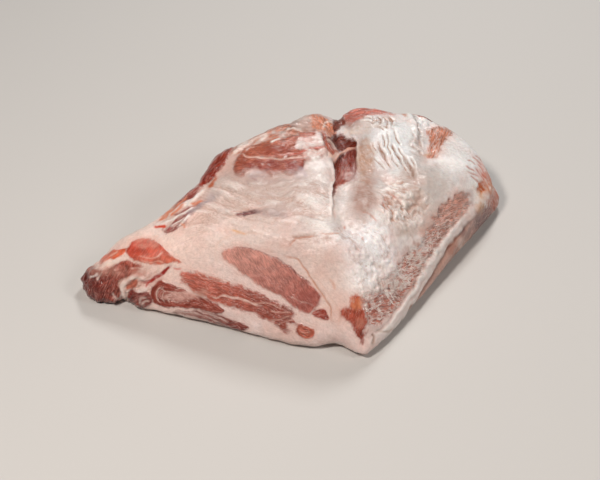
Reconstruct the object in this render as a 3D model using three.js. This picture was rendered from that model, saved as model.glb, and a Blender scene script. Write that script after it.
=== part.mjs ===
// Pork collar: one raw, boneless block of neck and shoulder meat, lying fat side down.
// Two knife cuts meet at the front corner: a long smooth cut across the muscles and a shorter, torn one
// above the rind-side fat. The rest is the seamed-out inner side: a blade muscle hump on the left, a fat
// covered neck on the right, and the open seam between them.
// Millimetres, +Z up, origin under the middle of the block's bounding box, on the board.
import * as THREE from "three";

// Driving sizes
const CROWN_HEIGHT = 84; // general level of the top above the board
const FRONT_CUT_REACH = 93; // plan distance from the origin to the front cut, at the board
const SIDE_CUT_REACH = 104.6; // the same for the side cut
const BACK_REACH = 154; // to the uncut back
const TIP_REACH = 178; // to the thin left end
const CUT_EDGE_ROUND = 3.6; // softness of the knife-cut edges
const CORNER_ROUND = 4.5; // softness of the upright corner between the two cuts
const FOOT_ROUND = 5.5; // softness of the edge on the board
const NATURAL_ROUND = 8; // softness of the uncut sides
const FOOT_FLAT = 0.8; // the fat presses flat on the board below this height

// Fineness of the skin
const GRID = 6; // size of the cells that the skin is found in
const GRID_LOW = [-201, -123, -9]; // lowest corner of the cells
const CELLS = [64, 48, 19]; // how many there are along X, Y and Z
const RELAX_ROUNDS = 8;
const RELAX_SHARE = 0.5;

const radians = THREE.MathUtils.degToRad;
const smoothstep = THREE.MathUtils.smoothstep;

// Sides are planes: facing is their direction in plan, reach their plan distance at the board, and lean how
// far they tip back. Relief stands proud of the plane.
function side({ facing, reach, lean, relief = () => 0 }) {
  const [turn, tip] = [radians(facing), radians(lean)];
  const normal = new THREE.Vector3(
    Math.cos(turn) * Math.cos(tip),
    Math.sin(turn) * Math.cos(tip),
    Math.sin(tip),
  );
  return { normal, distance: reach * Math.cos(tip), relief };
}

// Roofs are planes that fall away towards facing, from a height above the origin.
function roof({ facing, slope, height, relief = topRelief }) {
  const turn = radians(facing);
  const normal = new THREE.Vector3(Math.cos(turn) * slope, Math.sin(turn) * slope, 1);
  const steepness = normal.length();
  return { normal: normal.divideScalar(steepness), distance: height / steepness, relief };
}

// One round or oval swelling, falling off as a bell curve from its middle.
function swelling(x, y, { at, size, turn = 0, rise }) {
  const [cos, sin] = [Math.cos(radians(turn)), Math.sin(radians(turn))];
  const [dx, dy] = [x - at[0], y - at[1]];
  const along = (dx * cos + dy * sin) / size[0];
  const across = (dy * cos - dx * sin) / size[1];
  return rise * Math.exp(-(along * along) - across * across);
}

// A furrow between two points, deeper at its start, with one wall steeper than the other.
function furrow(x, y, { from, to, depth, steepWall, gentleWall }) {
  const [rx, ry] = [to[0] - from[0], to[1] - from[1]];
  const length = Math.hypot(rx, ry);
  const along = ((x - from[0]) * rx + (y - from[1]) * ry) / (length * length);
  const share = THREE.MathUtils.clamp(along, 0, 1);
  const [dx, dy] = [x - from[0] - rx * share, y - from[1] - ry * share];
  const gentleSide = dx * ry - dy * rx < 0;
  const offset = Math.hypot(dx, dy) / (gentleSide ? gentleWall : steepWall);
  return -THREE.MathUtils.lerp(depth[0], depth[1], share) * Math.exp(-(offset ** 2));
}

// Swellings and hollows of the upper side
const TOP_SWELLINGS = [
  { at: [-14, 56], size: [46, 26], turn: 22, rise: 9 }, // blade muscle
  { at: [-44, 10], size: [44, 30], turn: 10, rise: 4 }, // fat over the blade muscle
  { at: [66, 86], size: [34, 26], turn: -20, rise: 5 }, // neck crest at the back
  { at: [42, -6], size: [17, 22], turn: 10, rise: 6 }, // pillow of fat beside the seam
  { at: [30, -62], size: [20, 14], turn: -20, rise: 6 }, // shoulder over the front corner
  { at: [72, 34], size: [20, 30], turn: -30, rise: -6 }, // hollow in the neck fat
  { at: [108, 40], size: [26, 30], turn: 0, rise: 4 }, // smooth fat at the right
  { at: [-2, 108], size: [16, 20], turn: 0, rise: 4 }, // knob behind the blade muscle
  { at: [98, 112], size: [10, 24], turn: -20, rise: 5 }, // ridge at the end of the neck crest
  { at: [-168, -40], size: [28, 24], turn: 0, rise: 1 }, // small muscle at the tip
];
const SEAMS = [
  { from: [37, 84], to: [33, -44], depth: [16, 4], steepWall: 8, gentleWall: 15 },
  { from: [32, 124], to: [37, 84], depth: [8, 16], steepWall: 12, gentleWall: 12 },
];

// Long slow waves, a few millimetres high, keep any face from being truly flat.
const WAVES = [
  { turn: 20, length: 46, shift: 0.4, rise: 0.9 },
  { turn: 75, length: 37, shift: 2.1, rise: 0.8 },
  { turn: 130, length: 29, shift: 4.0, rise: 0.7 },
];
function unevenness(x, y) {
  return WAVES.reduce((sum, { turn, length, shift, rise }) => {
    const along = x * Math.cos(radians(turn)) + y * Math.sin(radians(turn));
    return sum + rise * Math.sin((along / length) * 2 * Math.PI + shift);
  }, 0);
}

function topRelief({ x, y }) {
  const swellings = TOP_SWELLINGS.reduce((sum, one) => sum + swelling(x, y, one), 0);
  const deepestSeam = Math.min(...SEAMS.map((one) => furrow(x, y, one)));
  return swellings + deepestSeam + unevenness(x, y);
}

// Unevenness of the front cut, by place along X and height
const FRONT_SWELLINGS = [
  { at: [-137, 0], size: [8, 13], rise: -9 }, // notch beside the tip's small muscle
  { at: [-168, 6], size: [18, 16], rise: 2 }, // the small muscle
  { at: [29, 0], size: [13, 13], rise: -10 }, // tuck beside the front corner, where the foot lifts
  { at: [60, 0], size: [12, 16], rise: 7 }, // toe of the front corner
  { at: [-4, 0], size: [46, 26], rise: 4 }, // belly of the foot before the tuck
  { at: [-6, 58], size: [80, 20], rise: -1.5 }, // the cut's faint hollow
];
function frontCutRelief({ x, z }) {
  return FRONT_SWELLINGS.reduce((sum, one) => sum + swelling(x, z, one), 0);
}

// Round the uncut sides a groove parts the fat cap below from the muscle above, and a second one the muscles.
const LAYER_GROOVES = [
  { height: 19, halfWidth: 5, depth: 3 },
  { height: 46, halfWidth: 7, depth: 2.5 },
];
const GROOVE_WANDER = 1.6; // how far the grooves rise and fall along the side, in waves
const LAYER_SWELL = 1; // how far the layers swell along the side, in waves
function layerRelief({ x, y, z }) {
  return LAYER_GROOVES.reduce((sum, { height, halfWidth, depth }) => {
    const offset = (z - height - GROOVE_WANDER * unevenness(x, y)) / halfWidth;
    return sum - depth * Math.exp(-(offset ** 2));
  }, LAYER_SWELL * unevenness(x + y, z));
}

// The muscle lobe that stands out of the back left side, from a place along it
const LOBE = { start: -78, blend: 22, proud: 25 };
const TIP_FLARE = { end: -140, start: -190, proud: 4 }; // the side also flares out towards the tip
function lobeRelief(point) {
  const lobe = smoothstep(point.x, LOBE.start - LOBE.blend / 2, LOBE.start + LOBE.blend / 2);
  const flare = 1 - smoothstep(point.x, TIP_FLARE.start, TIP_FLARE.end);
  return LOBE.proud * lobe + TIP_FLARE.proud * flare + layerRelief(point);
}

// The band of rind-side fat below the side cut's muscle climbs from the front corner to the right end
const SIDE_FACING = -33;
const FAT_BAND = { low: 9, high: 29, from: 10, to: 150, halfWidth: 6, proud: 3.5 };
function sideCutRelief({ x, y, z }) {
  const along = -x * Math.sin(radians(SIDE_FACING)) + y * Math.cos(radians(SIDE_FACING));
  const climb = smoothstep(along, FAT_BAND.from, FAT_BAND.to);
  const middle = THREE.MathUtils.lerp(FAT_BAND.low, FAT_BAND.high, climb);
  return FAT_BAND.proud * Math.exp(-(((z - middle) / FAT_BAND.halfWidth) ** 2));
}

const FRONT_FACING = 252;
const cutFaces = [
  side({ facing: FRONT_FACING, reach: FRONT_CUT_REACH, lean: 24, relief: frontCutRelief }),
  side({ facing: SIDE_FACING, reach: SIDE_CUT_REACH, lean: 14, relief: sideCutRelief }),
];
const naturalFaces = [
  side({ facing: 122, reach: 92, lean: 18, relief: lobeRelief }), // back left
  side({ facing: 88, reach: BACK_REACH, lean: 10, relief: layerRelief }), // back
  side({ facing: 49, reach: 207, lean: 16, relief: layerRelief }), // back right
  side({ facing: 8, reach: 188, lean: 20, relief: layerRelief }), // right end
  side({ facing: 188, reach: TIP_REACH, lean: 14, relief: layerRelief }), // thin left end
  roof({ facing: 187, slope: 0.46, height: 103 }), // long fall to the left
  roof({ facing: 0, slope: 0, height: CROWN_HEIGHT }), // level crown
  roof({ facing: 0, slope: 0.25, height: 94 }), // slow fall to the right
  roof({ facing: SIDE_FACING, slope: 1.1, height: 148 }), // steep fall above the side cut
];

// Softened maximum: close to the largest value, rounded where two are alike.
function softMaximum(values, round) {
  const largest = Math.max(...values);
  const sum = values.reduce((total, value) => total + Math.exp((value - largest) / round), 0);
  return largest + round * Math.log(sum);
}

// How far a point stands outside the block, negative inside it.
function outside(point) {
  const standing = ({ normal, distance, relief }) => normal.dot(point) - distance - relief(point);
  const natural = softMaximum(naturalFaces.map(standing), NATURAL_ROUND);
  const cut = softMaximum(cutFaces.map(standing), CORNER_ROUND);
  const belowBoard = -point.z;
  return softMaximum([softMaximum([natural, cut], CUT_EDGE_ROUND), belowBoard], FOOT_ROUND);
}

// The direction in which a point leaves the block fastest, and how fast it does.
const PROBE = 0.05;
function slopeAt({ x, y, z }, here) {
  return new THREE.Vector3(
    outside(new THREE.Vector3(x + PROBE, y, z)) - here,
    outside(new THREE.Vector3(x, y + PROBE, z)) - here,
    outside(new THREE.Vector3(x, y, z + PROBE)) - here,
  ).divideScalar(PROBE);
}

// Moves a point along that slope onto the surface.
const LEAST_SLOPE = 0.1;
function settle(point) {
  const here = outside(point);
  const slope = slopeAt(point, here);
  return point.addScaledVector(slope, -here / Math.max(slope.lengthSq(), LEAST_SLOPE));
}

// Slides a point along the surface towards the middle of its neighbours, so that edges keep their points.
function slide(point, middle) {
  const normal = slopeAt(point, outside(point)).normalize();
  const move = middle.sub(point);
  move.addScaledVector(normal, -move.dot(normal));
  return settle(point.clone().addScaledVector(move, RELAX_SHARE));
}

// Cells and grid points are counted along X, Y and Z, and numbered in one row. A cell has the place of its
// lowest corner.
const numberOf = ([i, j, k]) => (i * (CELLS[1] + 1) + j) * (CELLS[2] + 1) + k;
const gridPoint = (place) => new THREE.Vector3(...place.map((count, axis) => GRID_LOW[axis] + count * GRID));
const shifted = (place, shift) => place.map((count, axis) => count + shift[axis]);

function places(counts) {
  const all = [];
  for (let i = 0; i < counts[0]; i += 1) {
    for (let j = 0; j < counts[1]; j += 1) {
      for (let k = 0; k < counts[2]; k += 1) {
        all.push([i, j, k]);
      }
    }
  }
  return all;
}

const STEPS = [[1, 0, 0], [0, 1, 0], [0, 0, 1]];
const CELL_CORNERS = places([2, 2, 2]);
const CELL_EDGES = CELL_CORNERS.flatMap((corner) =>
  STEPS.map((step) => [corner, shifted(corner, step)]).filter(([, end]) => Math.max(...end) < 2),
);

// The middle of the points where the surface crosses a cell's edges, or nothing where it passes the cell by.
function cellPoint(cell, standing) {
  const crossings = CELL_EDGES.flatMap((edge) => {
    const [from, to] = edge.map((corner) => shifted(cell, corner));
    const [start, end] = [standing[numberOf(from)], standing[numberOf(to)]];
    if (start < 0 === end < 0) return [];
    return [gridPoint(from).lerp(gridPoint(to), start / (start - end))];
  });
  const sum = crossings.reduce((total, point) => total.add(point), new THREE.Vector3());
  return crossings.length ? sum.divideScalar(crossings.length) : undefined;
}

// Two triangles between the four cells round a grid edge, split along the shorter diagonal.
function patch([a, b, c, d], points) {
  const splitAC = points[a].distanceTo(points[c]) < points[b].distanceTo(points[d]);
  return splitAC ? [a, b, c, a, c, d] : [a, b, d, b, c, d];
}

// The skin has one point in each cell that the surface passes through, and a patch over each grid edge that
// it crosses. The points then slide along the surface until they lie evenly, and the foot is pressed flat.
function skin() {
  const standing = [];
  places(CELLS.map((count) => count + 1)).forEach((place) => {
    standing[numberOf(place)] = outside(gridPoint(place));
  });
  let points = [];
  const pointIn = new Map();
  places(CELLS).forEach((cell) => {
    const point = cellPoint(cell, standing);
    if (point) pointIn.set(numberOf(cell), points.push(point) - 1);
  });
  const triangles = places(CELLS).flatMap((place) =>
    STEPS.flatMap((step, axis) => {
      const inside = standing[numberOf(place)] < 0;
      if (inside === standing[numberOf(shifted(place, step))] < 0) return [];
      const [u, v] = [1, 2].map((turn) => STEPS[(axis + turn) % 3].map((count) => -count));
      const ring = [shifted(shifted(place, u), v), shifted(place, v), place, shifted(place, u)];
      const corners = ring.map((cell) => pointIn.get(numberOf(cell)));
      return patch(inside ? corners : corners.reverse(), points);
    }),
  );
  const neighbours = points.map(() => new Set());
  triangles.forEach((corner, i) => {
    const next = triangles[i % 3 === 2 ? i - 2 : i + 1];
    neighbours[corner].add(next);
    neighbours[next].add(corner);
  });
  for (let round = 0; round < RELAX_ROUNDS; round += 1) {
    points = points.map((point, i) => {
      const middle = new THREE.Vector3();
      neighbours[i].forEach((n) => middle.add(points[n]));
      return slide(point, middle.divideScalar(neighbours[i].size));
    });
  }
  const pressed = points.flatMap(({ x, y, z }) => [x, y, z < FOOT_FLAT ? 0 : z]);
  const geometry = new THREE.BufferGeometry();
  geometry.setAttribute("position", new THREE.Float32BufferAttribute(pressed, 3));
  return geometry.setIndex(triangles);
}

// The origin goes under the middle of the bounding box.
function centred(geometry) {
  geometry.computeBoundingBox();
  const middle = geometry.boundingBox.getCenter(new THREE.Vector3());
  geometry.translate(-middle.x, -middle.y, -geometry.boundingBox.min.z);
  geometry.computeVertexNormals();
  return geometry;
}

const rawPork = new THREE.MeshStandardMaterial({ color: 0xd9b6ab, roughness: 0.45, metalness: 0 });
const collar = new THREE.Mesh(centred(skin()), rawPork);
collar.name = "pork_collar";

const part = new THREE.Group();
part.name = "pork_collar_part";
part.add(collar);

export default part;
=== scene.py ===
# %% [markdown]
# # A raw pork collar
#
# This notebook dresses one boneless block of pork neck and shoulder. The block lies fat side down. In front
# a long knife cut shows muscles inside pale fat, at the right a second cut is torn, and the top is a
# patchwork of fat, bare muscle and membrane. The solid shape is already made elsewhere, so the work here is
# the skin: a finer mesh, a map of what is lean and what is fat, relief, and one material that reads the
# map.

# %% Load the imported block
import math

import bmesh
import bpy
import numpy as np
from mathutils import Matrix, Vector, noise


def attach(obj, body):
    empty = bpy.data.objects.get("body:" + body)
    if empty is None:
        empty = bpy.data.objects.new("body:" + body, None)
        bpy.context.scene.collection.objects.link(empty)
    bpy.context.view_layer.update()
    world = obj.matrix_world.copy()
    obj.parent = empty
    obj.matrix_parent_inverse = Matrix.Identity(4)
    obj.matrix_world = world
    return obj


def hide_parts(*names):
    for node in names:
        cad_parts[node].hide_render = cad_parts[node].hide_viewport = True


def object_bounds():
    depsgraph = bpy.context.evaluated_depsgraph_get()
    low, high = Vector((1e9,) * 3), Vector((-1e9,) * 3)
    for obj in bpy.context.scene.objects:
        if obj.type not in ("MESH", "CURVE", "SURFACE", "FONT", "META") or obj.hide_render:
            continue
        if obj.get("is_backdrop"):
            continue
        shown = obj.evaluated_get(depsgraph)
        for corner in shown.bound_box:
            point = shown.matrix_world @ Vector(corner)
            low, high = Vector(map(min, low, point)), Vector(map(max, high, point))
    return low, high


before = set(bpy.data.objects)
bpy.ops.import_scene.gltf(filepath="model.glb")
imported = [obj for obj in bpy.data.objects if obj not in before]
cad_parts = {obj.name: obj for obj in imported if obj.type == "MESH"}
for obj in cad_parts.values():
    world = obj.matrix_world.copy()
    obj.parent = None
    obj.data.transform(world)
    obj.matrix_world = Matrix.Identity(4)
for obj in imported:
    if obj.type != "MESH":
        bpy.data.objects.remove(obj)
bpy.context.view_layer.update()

MM = 0.001

# %% [markdown]
# ## The camera
#
# The meat is seen from the front and well above, through a long lens, so its sides stay nearly parallel.
# The same numbers do a second job here. They turn any point of the block into a place in the photo, and the
# map of lean and fat is drawn in those places, because that is where each muscle can be pointed at.

# %% Place the camera and turn points into photo places
ELEVATION = math.radians(38)
DISTANCE = 1200 * MM
AIM = np.array((1, -25, 35)) * MM
LENS = 90
SENSOR = 36
PHOTO_WIDTH = 600
PHOTO_HEIGHT = 480

FORWARD = np.array((0, math.cos(ELEVATION), -math.sin(ELEVATION)))
RIGHT = np.array((1, 0, 0))
UP = np.cross(RIGHT, FORWARD)
EYE = AIM - DISTANCE * FORWARD
FOCAL = PHOTO_WIDTH * LENS / SENSOR
MM_PER_PIXEL = DISTANCE / FOCAL / MM

lens = bpy.data.cameras.new("photo camera")
lens.lens = LENS
lens.sensor_width = SENSOR
camera = bpy.data.objects.new("photo camera", lens)
camera.location = EYE
camera.rotation_euler = (math.pi / 2 - ELEVATION, 0, 0)
bpy.context.collection.objects.link(camera)
bpy.context.scene.camera = camera


def photo_place(points):
    """Where points of the block are in the photo, in pixels."""
    away = points - EYE
    depth = away @ FORWARD
    across = PHOTO_WIDTH / 2 + FOCAL * (away @ RIGHT) / depth
    down = PHOTO_HEIGHT / 2 - FOCAL * (away @ UP) / depth
    return np.stack((across, down), axis=1)


print("one pixel of the photo covers", round(MM_PER_PIXEL, 2), "mm of meat")

# %% [markdown]
# ## Floor and light
#
# Wet meat is read by its highlights, and those are pictures of the lamps. Big soft lamps give broad pale
# sheens, small ones give hard white dots. A small main lamp hangs in front, to the left and high up, a
# weaker one at the right keeps the torn end readable, and one behind grazes the top so that ridges and wet
# membranes catch it.

# %% Build the floor
FLOOR_SIDE = 6.0
FLOOR_HEX = "c9c7c4"
FLOOR_ROUGHNESS = 0.8


def linear(code):
    """The light in a colour that is written as sRGB hex."""
    parts = [int(code[at : at + 2], 16) / 255 for at in (0, 2, 4)]
    parts = [p / 12.92 if p <= 0.04045 else ((p + 0.055) / 1.055) ** 2.4 for p in parts]
    return (*parts, 1.0)


# A matt pale surface, so that the meat's own shine stands out.
floor_paint = bpy.data.materials.new("pale studio floor")
floor_paint.use_nodes = True
floor_shader = floor_paint.node_tree.nodes["Principled BSDF"]
floor_shader.inputs["Base Color"].default_value = linear(FLOOR_HEX)
floor_shader.inputs["Roughness"].default_value = FLOOR_ROUGHNESS

half = FLOOR_SIDE / 2
floor_mesh = bpy.data.meshes.new("floor")
corners = [(-half, -half, 0), (half, -half, 0), (half, half, 0), (-half, half, 0)]
floor_mesh.from_pydata(corners, [], [range(4)])
floor_mesh.materials.append(floor_paint)
floor = bpy.data.objects.new("floor", floor_mesh)
bpy.context.collection.objects.link(floor)
floor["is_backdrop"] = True
print("floor:", FLOOR_SIDE, "m wide")

# %% Hang the lamps
ROOM_HEX = "ededec"
ROOM_LIGHT = 0.1
LAMPS = {
    "key": dict(at=(-0.5, -0.65, 1.2), side=0.2, watts=14, hex="fff6ee"),
    "right fill": dict(at=(1.0, -0.55, 1.0), side=0.4, watts=5.5, hex="fffaf6"),
    "back": dict(at=(0.25, 0.9, 1.1), side=0.3, watts=9, hex="fffcfa"),
}

for name, lamp in LAMPS.items():
    light = bpy.data.lights.new(name, "AREA")
    light.size = lamp["side"]
    light.energy = lamp["watts"]
    light.color = linear(lamp["hex"])[:3]
    holder = bpy.data.objects.new(name, light)
    holder.location = lamp["at"]
    holder.rotation_euler = (Vector(AIM) - holder.location).to_track_quat("-Z", "Y").to_euler()
    bpy.context.collection.objects.link(holder)

room = bpy.data.worlds.new("studio")
room.use_nodes = True
room.node_tree.nodes["Background"].inputs["Color"].default_value = linear(ROOM_HEX)
room.node_tree.nodes["Background"].inputs["Strength"].default_value = ROOM_LIGHT
bpy.context.scene.world = room
bpy.context.scene.view_settings.view_transform = "Standard"
print("lamps:", ", ".join(LAMPS))

# %% [markdown]
# ## A finer skin
#
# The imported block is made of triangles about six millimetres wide, which is far too coarse for wrinkles and
# slits. Subdividing would keep that pattern in the surface. Remeshing by voxels lays a fresh, even skin of
# about one millimetre over it, and smoothing then wears the old facets away. The flat underside needs no
# such detail, so it is thinned out again, which leaves more triangles for what shows.

# %% Remesh a copy of the block
WELD = 0.01 * MM
VOXEL = 1.08 * MM
SMOOTH_ROUNDS = 16
FOOT_LEVEL = 0.45 * MM
FOOT_SHARE = 0.06


def freeze(thing):
    """Work an object's modifiers into its mesh."""
    graph = bpy.context.evaluated_depsgraph_get()
    made = bpy.data.meshes.new_from_object(thing.evaluated_get(graph))
    thing.modifiers.clear()
    thing.data = made


def thin(chosen, ratio):
    """Take triangles out of the skin where its chosen points are."""
    group = meat.vertex_groups.new(name="thinned")
    group.add(chosen, 1, "REPLACE")
    thinner = meat.modifiers.new("thin", "DECIMATE")
    thinner.vertex_group = group.name
    thinner.ratio = ratio
    freeze(meat)
    meat.vertex_groups.clear()


welded = bmesh.new()
welded.from_mesh(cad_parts["pork_collar"].data)
bmesh.ops.remove_doubles(welded, verts=welded.verts, dist=WELD)
skin = bpy.data.meshes.new("pork collar")
welded.to_mesh(skin)
welded.free()

meat = bpy.data.objects.new("pork_collar_skin", skin)
bpy.context.collection.objects.link(meat)
remesh = meat.modifiers.new("fine skin", "REMESH")
remesh.mode = "VOXEL"
remesh.voxel_size = VOXEL
worn = meat.modifiers.new("worn facets", "SMOOTH")
worn.iterations = SMOOTH_ROUNDS
freeze(meat)

foot = [v.index for v in meat.data.vertices if v.co.z < FOOT_LEVEL]
under = sum(p.center.z < FOOT_LEVEL for p in meat.data.polygons)
thin(foot, 1 - (1 - FOOT_SHARE) * under / len(meat.data.polygons))

count = len(meat.data.vertices)
points = np.empty(count * 3)
meat.data.vertices.foreach_get("co", points)
points = points.reshape(-1, 3)
normals = np.array([v.normal for v in meat.data.vertices])
triangles = sum(len(p.vertices) - 2 for p in meat.data.polygons)
print("fine skin:", count, "points,", triangles, "triangles")

# %% [markdown]
# ## Drawing on the meat
#
# Muscles have smooth outlines, so each is drawn as a few points with a smooth curve through them. For every
# point of the skin the distance to that curve is measured, in millimetres and positive inside. A distance
# is better than a painted mask, because the material can add noise to it and still cut a crisp, ragged
# edge. A small wobble in the places keeps the drawn curves from looking drawn. What the photo can't see
# gets none of this, so the drawing fades out where the skin turns away from the camera.

# %% Find each point's place in the photo
FADE_FROM = -0.30
FADE_TO = -0.06

WOBBLE_SIZE = 9 * MM
WOBBLE = 1.3 * MM
TOOTH_SIZE = 5 * MM
SEED = 11


def smoothstep(low, high, value):
    """Nothing up to low, one from high on, and a smooth change between."""
    share = np.clip((value - low) / (high - low), 0, 1)
    return share * share * (3 - 2 * share)


noise.seed_set(SEED)
wobble = np.array([noise.noise_vector(Vector(p) / WOBBLE_SIZE) for p in points]) * WOBBLE
places = photo_place(points + wobble)
tooth = np.array([noise.noise(Vector(p) / TOOTH_SIZE) for p in points])
to_eye = EYE - points
to_eye /= np.linalg.norm(to_eye, axis=1)[:, None]
facing = (normals * to_eye).sum(axis=1)
seen = smoothstep(FADE_FROM, FADE_TO, facing)
print("share of the skin that the photo sees:", round(float((seen > 0.5).mean()), 2))

# %% Measure distances to curves
CURVE_STEPS = 5
REACH = 16
OUTSIDE = -REACH * MM_PER_PIXEL


def path(pairs):
    """Places in the photo, from a text of x,y pairs."""
    return np.array([pair.split(",") for pair in pairs.split()], float)


def curve(knots, closed):
    """Short steps along a smooth line through the knots."""
    if closed:
        chain = np.vstack((knots[-1:], knots, knots[:2]))
    else:
        chain = np.vstack((2 * knots[0] - knots[1], knots, 2 * knots[-1] - knots[-2]))
    before, here, after, beyond = chain[:-3], chain[1:-2], chain[2:-1], chain[3:]
    steps = []
    for t in np.arange(CURVE_STEPS) / CURVE_STEPS:
        bend = 2 * before - 5 * here + 4 * after - beyond
        twist = 3 * here - before - 3 * after + beyond
        steps.append(here + ((after - before) * t + bend * t**2 + twist * t**3) / 2)
    steps = np.stack(steps, axis=1).reshape(-1, 2)
    return np.vstack((steps, steps[:1] if closed else knots[-1:]))


def near(line):
    """Which points of the skin lie around the line in the photo."""
    low = line.min(axis=0) - REACH
    high = line.max(axis=0) + REACH
    return np.flatnonzero(((places > low) & (places < high)).all(axis=1))


def line_distance(line, chosen):
    """Distance in mm from the chosen points to the line, and how far along it they are."""
    start = line[:-1]
    step = np.diff(line, axis=0)
    offset = places[chosen][:, None] - start
    share = np.clip((offset * step).sum(axis=2) / (step**2).sum(axis=1), 0, 1)
    gap = np.linalg.norm(offset - share[..., None] * step, axis=2)
    nearest = gap.argmin(axis=1)
    rows = np.arange(len(chosen))
    along = (nearest + share[rows, nearest]) / len(step)
    return gap[rows, nearest] * MM_PER_PIXEL, along


def inside_distance(knots):
    """Distance in mm from every point of the skin to a closed outline, positive inside it."""
    ring = curve(knots, True)
    chosen = near(ring)
    gap, _ = line_distance(ring, chosen)
    x, y = places[chosen].T[:, :, None]
    (x1, y1), (x2, y2) = ring[:-1].T, ring[1:].T
    rise = np.where(y2 == y1, 1, y2 - y1)
    crossed = ((y1 > y) != (y2 > y)) & (x < x1 + (y - y1) * (x2 - x1) / rise)
    sign = np.where(crossed.sum(axis=1) % 2, 1, -1)
    found = np.full(count, OUTSIDE)
    found[chosen] = np.maximum(gap * sign, OUTSIDE)
    return found


print("an outline is felt over", round(-OUTSIDE, 1), "mm")

# %% [markdown]
# ## The muscles
#
# Each muscle has an outline, written as places in the photo, its own colour and its own grain, which is the
# way its fibres run, in degrees up from level. Some shade into a second colour, the end, toward one side.
# In a muscle marked as a whorl the fibres follow its outline. Marbling says how much fat runs between the
# fibres. A bare muscle wasn't cut but pulled free, so its strands stand out. Lift raises or sinks it
# against the fat around it, in millimetres, since a knife drags soft fat and firm meat differently. Crisp
# is one where the border is cut clean, and less where lean and fat fray into each other. Teeth, in
# millimetres, notch the border. Streaks are weaker than one where the fibres hardly show.

# %% Name the muscles of the front cut
MUSCLES = {
    "oval": dict(
        outline="222,254 232,247 252,248 268,254 284,262 298,274 312,285 321,294 319,302 309,313 290,304 "
                "279,295 259,285 238,269",
        hex="d29588", end="a95c51", toward=-55, grain=-58, marbling=0.06, lift=0.35, crisp=0.8, streaks=0.55,
    ),
    "red fleck": dict(
        outline="312.5,314 317,309 322,308.5 326,312 330.5,318 323,320",
        hex="942914", grain=20, marbling=0.1, lift=-0.3,
    ),
    "small oval": dict(
        outline="295,331 298.5,324 312,328 314.5,333 309.5,338 300,336",
        hex="be5f48", grain=-25, marbling=0.5, lift=0.2, whorl=True,
    ),
    "long": dict(
        outline="180,276 186,271 198,272.5 214,276.5 226,283 241,286 256,291 264,297 281,304 292,309 "
                "296,314 290,318 295,323 287,325 290,334 279,327 259,316 228,306 205,298 191,289",
        hex="bf604c", end="8d3826", toward=-25, grain=-20, marbling=0.18, lift=0.3, crisp=0.55, teeth=0.6,
        streaks=0.65,
    ),
    "lower left": dict(
        outline="151,292 158.6,281 165.6,282 178,286 192,293 206,299 220,306 224,311 217,314 192,308 "
                "164,307 154,302",
        hex="8c311f", end="903d2d", grain=-20, marbling=0.8, lift=0.3, whorl=True, streaks=0.75,
    ),
    "bottom streak": dict(
        outline="173,310.5 200,311 216,314.5 234,320 250,327.5 240,330 224,326.5 206,321 188,315.5",
        hex="7d2212", grain=-20, marbling=0.45, lift=-0.2, crisp=1.0, streaks=0.8,
    ),
    "corner": dict(
        outline="351,297 356,294 361,299 366,309 368,318 366,332 361,343.5 353,327 342,316 342,310 350,308",
        hex="c0563d", end="944234", toward=-90, grain=75, marbling=0.15, lift=-0.4, crisp=0.55, teeth=1.5,
        streaks=0.7,
    ),
}
print("front cut:", ", ".join(MUSCLES))

# %% Name the muscles of the left tip
MUSCLES |= {
    "round red": dict(
        outline="126,254 128,247 134,241.5 142,239 150,239 158,243 165,250 173,257 182,262 170,263.5 "
                "157,264.5 147,264 134,260.5",
        hex="c5432f", end="d37058", toward=-70, grain=62, marbling=0.05, lift=0.2, crisp=1.0, streaks=0.35,
    ),
    "salmon": dict(
        outline="100.5,267 101,261 105,256 112,251.5 120,249.5 126,249 124,254 116,258 108,263",
        hex="d9633f", grain=40, marbling=0.1, lift=0.6, crisp=1.4, streaks=0.4,
    ),
    "tip": dict(
        outline="78,282 84,271 95,267 100,272 110,268 123,261 133,261 143,267 137,272 125,277 120,283 "
                "121,293 116,305 98,303",
        hex="660d02", end="a84d3b", toward=20, grain=64, marbling=0.1, lift=0.7, bare=True, crisp=0.7,
        streaks=1.0,
    ),
    "ring core": dict(
        outline="125.5,287 129,280.5 138,279.5 136,285.5 130,288",
        hex="c66c54", grain=30, marbling=0.1, lift=-0.4,
    ),
    "dark lump": dict(
        outline="128,294 133,288 140,292 149,292 153,301 143,308 131,303",
        hex="8a3a30", grain=20, marbling=0.12, lift=0.9, bare=True,
    ),
    "lobe": dict(
        outline="198,188 206,172 216,157 228,147 237,143 231,153 224,166 216,178 207,184",
        hex="8a210b", end="9a402d", toward=60, grain=48, marbling=0.05, lift=1.0, bare=True, streaks=0.7,
    ),
    "slope shred": dict(
        outline="163,231 172,224 182,216 191,208 198,206 191,216 182,225 172,231",
        hex="a04c46", grain=40, marbling=0.9, lift=-0.3, bare=True, crisp=0.5, teeth=1.5,
    ),
    "slope edge": dict(
        outline="174,209 180,200 190,190 202,186 197,193 190,203 181,207",
        hex="a3574f", grain=38, marbling=0.4, lift=0.3, bare=True, crisp=0.7,
    ),
}
print("muscles so far:", len(MUSCLES))

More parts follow.
